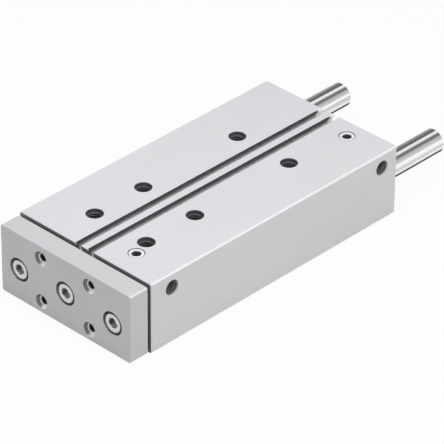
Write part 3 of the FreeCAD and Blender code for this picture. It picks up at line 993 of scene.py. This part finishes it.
@dataclass(frozen=True)
class SpringSteel:
    """Blackened spring steel whose stamped edges have rubbed bright."""

    name: str = "blackened_spring_steel"
    colour: Colour = (0.07, 0.07, 0.075)
    worn_colour: Colour = (0.42, 0.42, 0.43)
    wear_per_metre: float = 900.0
    rolled_per_metre: Scale = (400.0, 400.0, 6000.0)
    rolled_depth: float = 2.0 * MICRON
    metallic: float = 0.7
    roughness: float = 0.38

    def build(self) -> Material:
        """Oiled black with scattered rubbed patches and a rolled grain.

        Returns:
            The material.
        """
        graph = Graph(self.name, self.colour, self.metallic, self.roughness)
        rubbed = graph.noise(self.wear_per_metre, 4.0, 0.65)
        graph.paint(graph.mix(graph.between(rubbed, 0.6, 0.78), self.colour, self.worn_colour))
        graph.roughen(graph.between(rubbed, 0.4, 0.7, self.roughness + 0.08, self.roughness - 0.1))
        graph.emboss(graph.noise(self.rolled_per_metre, 2.0), self.rolled_depth)
        return graph.material


# ---------------------------------------------------------------- sub-assemblies


def dress(nodes: Sequence[str], material: Material) -> None:
    """Gives CAD nodes a finish.

    Args:
        nodes: Names of the nodes.
        material: The finish.
    """
    for name in nodes:
        frame["nodes"][name].data.materials.clear()
        frame["nodes"][name].data.materials.append(material)
        LOG.info("node %s: %s", name, material.name)


def middle(node: str) -> Vector:
    """The centre of a CAD node's box."""
    low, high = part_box(node)
    return (low + high) / 2.0


def pattern(name: str) -> list[Vector]:
    """Hole centres of a bolt pattern in the record.

    Args:
        name: The mount's name.

    Returns:
        One centre for each hole: the pattern's place plus and minus half its spacings, the first along X
        and the second along whichever of Y and Z lies across the pattern's axis.
    """
    mount = MOUNTS[name]
    centre = Vector(mount["pos_m"])
    half_x = mount["dims"]["spacing_x_mm"] * MM / 2.0
    half_y = mount["dims"].get("spacing_y_mm", 0.0) * MM / 2.0
    upright_axis = abs(mount["axis"][2]) > 0.5
    second = Vector((0.0, 1.0, 0.0)) if upright_axis else Vector((0.0, 0.0, 1.0))
    rows = (-1.0, 1.0) if half_y > 0.0 else (0.0,)
    return [centre + Vector((side * half_x, 0.0, 0.0)) + row * half_y * second
            for side in (-1.0, 1.0) for row in rows]


@dataclass
class Housing:
    """The drawn aluminium body, with its tapped fixing holes and side ports."""

    pitch: float = 0.8 * MM
    fixing_depth: float = 10.0 * MM
    fixing_start: float = 0.5 * MM

    def __post_init__(self) -> None:
        """Takes the body's box from the frame."""
        self.low, self.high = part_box("housing_block")

    def build(self) -> None:
        """Dresses the body and cuts its threads."""
        # Where the painted shade starts in the body's bores and grooves.
        shade = Shade(sides=(0.62 * MM, 0.8 * MM), faces=(0.004 * MM, 0.02 * MM),
                      front=(0.16 * MM, 0.25 * MM), rear=(1.0 * MM, 2.5 * MM))
        grooves = Grooves(abs(MOUNTS["sensor_groove_left"]["pos_m"][0]))
        skin = AnodisedSkin("anodised_housing_skin", self.low, self.high, Lay.ALONG_Y, shade, -1.0,
                            (0.745, 0.75, 0.757), grooves=grooves)
        dress(["housing_block"], skin.build())
        self.tap_fixing_holes()
        self.tap_ports()

    def tap_fixing_holes(self) -> None:
        """Threads both mouths of every fixing hole, each hole's two threads as one piece."""
        for mount, word in (("body_holes_outer", "outer"), ("body_holes_middle", "middle")):
            radius = MOUNTS[mount]["dims"]["hole_r_mm"] * MM
            thread = Thread(radius, self.pitch, self.fixing_depth, self.fixing_start)
            for number, centre in enumerate(pattern(mount), start=1):
                name = f"fixing_thread_{word}_{number}"
                top = Mouth(Vector((centre.x, centre.y, self.high.z)), Axis.Z, -1.0)
                base = Mouth(Vector((centre.x, centre.y, self.low.z)), Axis.Z, 1.0)
                # The threads' dark colour is painted shade inside the holes.
                finish = CutMetal(f"{name}_cut", centre, Axis.Z, (0.14, 0.14, 0.145), metallic=0.3)
                both = joined([thread.surface(top), thread.surface(base)])
                make_piece(name, both, "housing", finish.build())

    def tap_ports(self) -> None:
        """Threads the two supply ports."""
        for word in ("front", "rear"):
            name = f"port_thread_{word}"
            mount = MOUNTS[f"supply_port_{word}"]
            radius, depth = (mount["dims"][size] * MM for size in ("r_mm", "length_mm"))
            centre = Vector((self.high.x, mount["pos_m"][1], mount["pos_m"][2]))
            # The thread's dark colour is painted shade inside the port.
            finish = CutMetal(f"{name}_cut", centre, Axis.X, (0.22, 0.22, 0.22), metallic=0.3)
            ridge = Thread(radius, self.pitch, depth).surface(Mouth(centre, Axis.X, -1.0))
            make_piece(name, ridge, "housing", finish.build())


@dataclass
class Glands:
    """What closes and seals the body: caps, rings, bushes, wipers and the plugs of the spare ports."""

    plug_socket_radius: float = 1.5 * MM
    plug_rim_width: float = 0.22 * MM

    def build(self) -> None:
        """Dresses the pieces."""
        for node in ("front_bearing_cap", "rear_cap"):
            dress([node], CutMetal(f"{node}_turned", middle(node), Axis.Y, (0.7, 0.71, 0.72)).build())
        rubber = MouldedPolymer("nitrile_rubber", (0.022, 0.022, 0.024), 0.5, 0.12 * MM).build()
        dress(["rod_seal", "front_cap_o_ring", "rear_cap_o_ring", "front_buffer", "rear_buffer"], rubber)
        bushes = [f"guide_bush_{end}_{side}" for end in ("front", "rear") for side in ("left", "right")]
        dress(["rod_bush", *bushes], SinteredBronze().build())
        wiper = MouldedPolymer("wiper_polyurethane_skin", (0.045, 0.05, 0.058), 0.42, 0.2 * MM, dust=0.5)
        dress(["guide_wiper_left", "guide_wiper_right"], wiper.build())
        dress(["front_retaining_ring", "rear_retaining_ring"], SpringSteel().build())
        for end in ("front", "rear"):
            self.plug(f"port_plug_{end}")

    def plug(self, node: str) -> None:
        """Dresses a socket plug, with painted shade inside its socket and a painted shadow ring at its
        edge.

        Args:
            node: The plug's CAD node.
        """
        low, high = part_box(node)
        hollow = Hollow(self.plug_socket_radius, high.z, (0.1, 0.1, 0.11), inward=-1.0)
        rim = Rim((high.x - low.x) / 2.0 - self.plug_rim_width, (0.34, 0.34, 0.34))
        finish = CutMetal(f"{node}_zinc", middle(node), Axis.Z, (0.98, 0.985, 0.99), metallic=0.1,
                          hollow=hollow, rim=rim)
        dress([node], finish.build())


@dataclass
class Yoke:
    """The front plate with its tapped holes and the three screws that hold the rods."""

    pitch: float = 0.7 * MM
    sink_depth: float = 0.4 * MM
    lead_depth: float = 0.65 * MM
    thread_shade: Band = (1.5 * MM, 1.9 * MM)
    knurl_start: float = 0.7 * MM
    knurl_end: float = 3.7 * MM
    socket_radius: float = 1.8 * MM
    rim_width: float = 0.6 * MM
    # Moves the painted shadow ring round each screw head off centre, so that it is wider at the left and
    # bottom.
    shadow_rim_shift: tuple[float, float, float] = (0.2 * MM, 0.0, 0.12 * MM)

    def build(self) -> None:
        """Dresses the plate, taps its holes and knurls the screws."""
        low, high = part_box("yoke_plate")
        edge = (0.55 * MM, 0.7 * MM)
        shade = Shade(sides=edge, faces=edge, front=(0.42 * MM, 0.6 * MM), rear=(0.12 * MM, 0.2 * MM))
        # The plate's lip, bore and deep colours are painted shade in its holes, and its chamfer colour is a
        # painted highlight.
        skin = AnodisedSkin("anodised_plate_skin", low, high, Lay.ALONG_X, shade, 1.0, (0.645, 0.65, 0.652),
                            sinks=Countersinks(low, high), chamfer_highlight_colour=(0.8, 0.805, 0.81),
                            lip_shade_colour=(0.6, 0.6, 0.6), bore_shade_colour=(0.2, 0.2, 0.2),
                            deep_colour=(0.06, 0.06, 0.06))
        plate = skin.build()
        dress(["yoke_plate"], plate)
        self.tap_plate(low.y, high.y - low.y, plate)
        for node in ("piston_rod_screw", "guide_rod_screw_left", "guide_rod_screw_right"):
            self.screw(node)

    def tap_plate(self, front: float, thickness: float, plate: Material) -> None:
        """Threads the plate's holes, each with the cone that leads into it.

        Args:
            front: Where the plate's front face lies along Y.
            thickness: The plate's thickness.
            plate: The plate's finish, which the cones have too.
        """
        radius = MOUNTS["plate_threads"]["dims"]["hole_r_mm"] * MM
        thread = Thread(radius, self.pitch, thickness, self.sink_depth)
        lead = LeadIn(radius, radius - self.lead_depth, self.sink_depth)
        # Painted shade deep inside the tapped holes.
        hollow = Hollow(2.0 * radius, front, (0.09, 0.09, 0.09), fade=self.thread_shade)
        for number, centre in enumerate(pattern("plate_threads"), start=1):
            name = f"plate_thread_{number}"
            mouth = Mouth(Vector((centre.x, front, centre.z)), Axis.Y, 1.0)
            cut = CutMetal(f"{name}_cut", centre, Axis.Y, WHITE, metallic=0.1, hollow=hollow)
            make_piece(name, thread.surface(mouth), "carriage", cut.build())
            cone = lead.surface(mouth)
            make_piece(f"{name}_lead", cone, "carriage", plate, smooth_faces=False)

    def screw(self, node: str) -> None:
        """Dresses a socket head screw and knurls its head.

        Args:
            node: The screw's CAD node.
        """
        low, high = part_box(node)
        centre = Vector(((low.x + high.x) / 2.0, low.y, (low.z + high.z) / 2.0))
        radius = (high.x - low.x) / 2.0
        # Painted shade in the hex socket with painted light on its walls that are turned up, and a painted
        # shadow ring round the head.
        hollow = Hollow(self.socket_radius, low.y, (0.3, 0.3, 0.3), lit_colour=WHITE, metallic=1.0)
        rim = Rim(radius - self.rim_width, (0.07, 0.07, 0.07), self.shadow_rim_shift)
        finish = CutMetal(f"{node}_zinc", centre, Axis.Y, (1.0, 1.0, 0.99), metallic=0.2, roughness=0.32,
                          hollow=hollow, rim=rim)
        zinc = finish.build()
        dress([node], zinc)
        sleeve = Knurl(radius, self.knurl_start, self.knurl_end).surface(Mouth(centre, Axis.Y, 1.0))
        make_piece(f"{node}_knurl", sleeve, "carriage", zinc)


@dataclass
class Runners:
    """The rods and what is on the piston rod's end."""

    def build(self) -> None:
        """Dresses the rods and the piston with its seals, band and magnet."""
        dress(["piston_rod", "guide_rod_left", "guide_rod_right"], ChromedRod().build())
        dress(["piston"], CutMetal("piston_turned", middle("piston"), Axis.Y, (0.72, 0.72, 0.73)).build())
        rubber = MouldedPolymer("piston_rubber", (0.025, 0.025, 0.026), 0.5, 0.12 * MM)
        dress(["spigot_o_ring", "piston_seal"], rubber.build())
        band = MouldedPolymer("bearing_band_plastic", (0.14, 0.12, 0.1), 0.55, 0.15 * MM, dust=0.6)
        dress(["piston_guide_band"], band.build())
        magnet = MouldedPolymer("bonded_magnet", (0.085, 0.085, 0.09), 0.5, 0.08 * MM, dust=0.8)
        dress(["piston_magnet"], magnet.build())


# ---------------------------------------------------------------- studio


@dataclass(frozen=True)
class Card:
    """A level strip beside a rod that only reflections see.

    The glow is plain. Near and far are measured from the rod's axis towards +X, the height from the floor,
    and the reach along Y from the rod's end.
    """

    name: str
    glow: float
    near: float
    far: float
    height: float
    reach: float


@dataclass
class Studio:
    """Pale floor, soft lamps, a reflecting canopy for the polished rods, and the camera."""

    floor_size: float = 8.0
    floor_colour: Colour = (0.6, 0.6, 0.6)
    floor_white: float = 1.03
    background_share: float = 0.9
    mirrored_share: float = 0.2
    ambient: float = 0.25
    ambient_colour: Colour = (0.97, 0.985, 1.0)
    canopy_radius: float = 1.6
    canopy_arc: Span = (2.0, 200.0)
    canopy_steps: int = 66
    canopy_ends: Span = (-3.0, 5.0)
    stripes: tuple[tuple[float, float], ...] = (
        (2.0, 1.15), (14.0, 0.96), (20.0, 0.78), (26.0, 0.64), (32.0, 0.57), (38.0, 0.56),
        (50.0, 0.5), (56.0, 0.38), (62.0, 0.25), (68.0, 0.14), (74.0, 0.16), (80.0, 0.22),
        (86.0, 0.43), (92.0, 0.72), (98.0, 0.92), (104.0, 1.0), (110.0, 0.82), (116.0, 0.44),
        (122.0, 0.19), (128.0, 0.1), (140.0, 0.15), (160.0, 0.28), (175.0, 0.31), (200.0, 0.33),
    )
    cards: tuple[Card, ...] = (
        Card("shade", 0.06, -4.0 * MM, 4.5 * MM, 5.5 * MM, 30.0 * MM),
        Card("glow", 0.88, 7.0 * MM, 13.0 * MM, 0.1 * MM, 30.0 * MM),
    )
    far_card: Card = Card("far_glow", 0.95, 40.0 * MM, 600.0 * MM, 0.1 * MM, 400.0 * MM)
    azimuth: float = math.radians(43.947)
    elevation: float = math.radians(33.34)
    roll: float = math.radians(0.434)
    aim: tuple[float, float, float] = (0.0, -0.00537, 0.01218)
    distance: float = 1.0657
    slide: float = 0.007058
    lift: float = -0.0010144

    def build(self) -> None:
        """Makes the whole stage, with a plain view transform, so that a colour renders as it is written."""
        bpy.context.scene.view_settings.view_transform = "Standard"
        self.world()
        self.floor()
        self.canopy()
        for side in ("left", "right"):
            for card in self.cards:
                self.card(card, side)
        self.card(self.far_card, "right")
        self.lamp("overhead_lamp", (0.0, -0.06, 0.36), size=0.28, power=0.795, colour=(0.93, 0.955, 1.0))
        self.lamp("key_lamp", (1.13, 0.1, 1.13), size=0.7, power=10.9, colour=(1.0, 0.985, 0.965))
        self.lamp("front_lamp", (-0.25, -1.2, 0.3), size=0.7, power=2.43, colour=(1.0, 0.99, 0.968))
        self.camera()

    def world(self) -> None:
        """White where it is seen, and a plain level where it lights."""
        world = bpy.data.worlds.new("studio_world")
        bpy.context.scene.world = world
        nodes = Nodes(world, "ShaderNodeOutputWorld")
        plain = {"Color": self.ambient_colour, "Strength": self.ambient}
        lighting = nodes.add("ShaderNodeBackground", plain).outputs[0]
        white = nodes.add("ShaderNodeBackground", {"Color": WHITE, "Strength": 1.0}).outputs[0]
        nodes.blend(nodes.seen(1.0, 1.0), lighting, white)

    def floor(self) -> None:
        """A large pale floor that keeps the object's shadow."""
        half = self.floor_size / 2.0
        material = bpy.data.materials.new("pale_floor")
        nodes = Nodes(material, "ShaderNodeOutputMaterial")
        matt = nodes.add("ShaderNodeBsdfDiffuse", {"Color": self.floor_colour}).outputs[0]
        white = nodes.glow(WHITE, self.floor_white)
        nodes.blend(nodes.seen(self.background_share, self.mirrored_share), matt, white)
        self.staged_strip("studio_floor", (-half, half), (-half, half), 0.0, material)

    def staged_mesh(self, name: str, points: Sequence[Sequence[float]], faces: Sequence[Sequence[int]],
                    material: Material) -> Object:
        """A mesh that belongs to the stage.

        Args:
            name: Its name.
            points: Corner points.
            faces: Corner numbers of each face.
            material: Its material.

        Returns:
            The new object.
        """
        mesh = bpy.data.meshes.new(name)
        mesh.from_pydata(points, [], faces)
        mesh.materials.append(material)
        staged = linked(name, mesh)
        return staged

    def staged_strip(self, name: str, x: Span, y: Span, z: float, material: Material) -> Object:
        """A level rectangle for the studio, over a span along X and one along Y."""
        corners = [(x[0], y[0], z), (x[1], y[0], z), (x[1], y[1], z), (x[0], y[1], z)]
        return self.staged_mesh(name, corners, [[0, 1, 2, 3]], material)

    def canopy(self) -> None:
        """A half pipe along Y that only reflections see, with soft grey stripes between bright ones.

        The pipe's points are its radius times the cosine and sine of an even angle, at two ends. Its glow
        is a ramp over the same angle, worked out from the coordinates. The ramp spans a full turn from
        straight down, and each stripe is an angle above the +X side in degrees and a level.
        """
        start, end = (math.radians(angle) for angle in self.canopy_arc)
        angle = np.linspace(start, end, self.canopy_steps + 1)
        ring = np.stack([np.cos(angle), np.zeros_like(angle), np.sin(angle)], axis=1) * self.canopy_radius
        points = np.concatenate([ring + [0.0, y, 0.0] for y in self.canopy_ends])
        first = np.arange(self.canopy_steps)
        faces = np.stack([first, first + 1, first + len(angle) + 1, first + len(angle)], axis=1)
        material = bpy.data.materials.new("canopy_glow")
        nodes = Nodes(material, "ShaderNodeOutputMaterial")
        x, _, z = nodes.parts(nodes.add("ShaderNodeTexCoord").outputs["Object"])
        turn = nodes.math("ARCTAN2", z, x)
        full_turn = {"Value": turn, "From Min": -math.pi / 2.0, "From Max": 3.0 * math.pi / 2.0}
        share = nodes.add("ShaderNodeMapRange", full_turn).outputs[0]
        ramp = nodes.add("ShaderNodeValToRGB", {"Fac": share})
        while len(ramp.color_ramp.elements) < len(self.stripes):
            ramp.color_ramp.elements.new(0.5)
        for element, (degrees, level) in zip(ramp.color_ramp.elements, self.stripes):
            element.position = (degrees + 90.0) / 360.0
            element.color = (level, level, level, 1.0)
        nodes.feed(nodes.surface, nodes.glow(ramp.outputs["Color"]))
        pipe = self.staged_mesh("reflection_canopy", points.tolist(), faces.tolist(), material)
        self.only_reflected(pipe)

    def card(self, card: Card, side: str) -> None:
        """Lays one strip beside a guide rod, from the body's rear.

        Args:
            card: The strip.
            side: Which guide rod it lies beside.
        """
        name = f"rod_{card.name}_{side}"
        material = bpy.data.materials.new(name)
        nodes = Nodes(material, "ShaderNodeOutputMaterial")
        nodes.feed(nodes.surface, nodes.glow((card.glow,) * 3))
        rod = f"guide_rod_{side}"
        across = (middle(rod).x + card.near, middle(rod).x + card.far)
        length = (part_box("housing_block")[1].y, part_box(rod)[1].y + card.reach)
        self.only_reflected(self.staged_strip(name, across, length, card.height, material))

    def only_reflected(self, staged: Object) -> None:
        """Leaves a staged piece to glossy rays."""
        for ray in ("camera", "diffuse", "shadow", "transmission"):
            setattr(staged, f"visible_{ray}", False)

    def lamp(self, name: str, place: Sequence[float], size: float, power: float, colour: Colour) -> None:
        """A soft square lamp aimed at the object, left out of reflections.

        Args:
            name: Its name.
            place: Where it hangs.
            size: Length of its side.
            power: Its power in watts.
            colour: Its colour.
        """
        data = bpy.data.lights.new(name, "AREA")
        data.shape = "SQUARE"
        data.size = size
        data.energy = power
        data.color = colour
        lamp = linked(name, data)
        lamp.location = place
        lamp.rotation_mode = "QUATERNION"
        lamp.rotation_quaternion = Vector(place).to_track_quat("Z", "Y")
        lamp.visible_glossy = False
        lamp.visible_camera = False

    def camera(self) -> None:
        """The camera, placed by its azimuth, elevation, roll and distance from the aim point."""
        level = Vector((math.cos(self.azimuth), math.sin(self.azimuth), 0.0))
        flat = math.cos(self.elevation)
        back = Vector((
            math.sin(self.azimuth) * flat,
            -math.cos(self.azimuth) * flat,
            math.sin(self.elevation),
        ))
        upright = back.cross(level)
        right = level * math.cos(self.roll) + upright * math.sin(self.roll)
        above = upright * math.cos(self.roll) - level * math.sin(self.roll)
        data = bpy.data.cameras.new("product_camera")
        data.lens = 290.4
        data.sensor_width = 36.0
        data.clip_start = 0.05
        data.clip_end = 30.0
        camera = linked("product_camera", data)
        place = Vector(self.aim) + back * self.distance + right * self.slide + above * self.lift
        camera.matrix_world = Matrix.Translation(place) @ Matrix((right, above, back)).transposed().to_4x4()
        bpy.context.scene.camera = camera


# ---------------------------------------------------------------- the whole


def main() -> None:
    """Builds the sub-assemblies and the studio in order."""
    logging.basicConfig(level=logging.INFO, format="%(message)s")
    for part in (Housing(), Glands(), Yoke(), Runners(), Studio()):
        LOG.info("building %s", type(part).__name__)
        part.build()


if __name__ == "__main__":
    main()
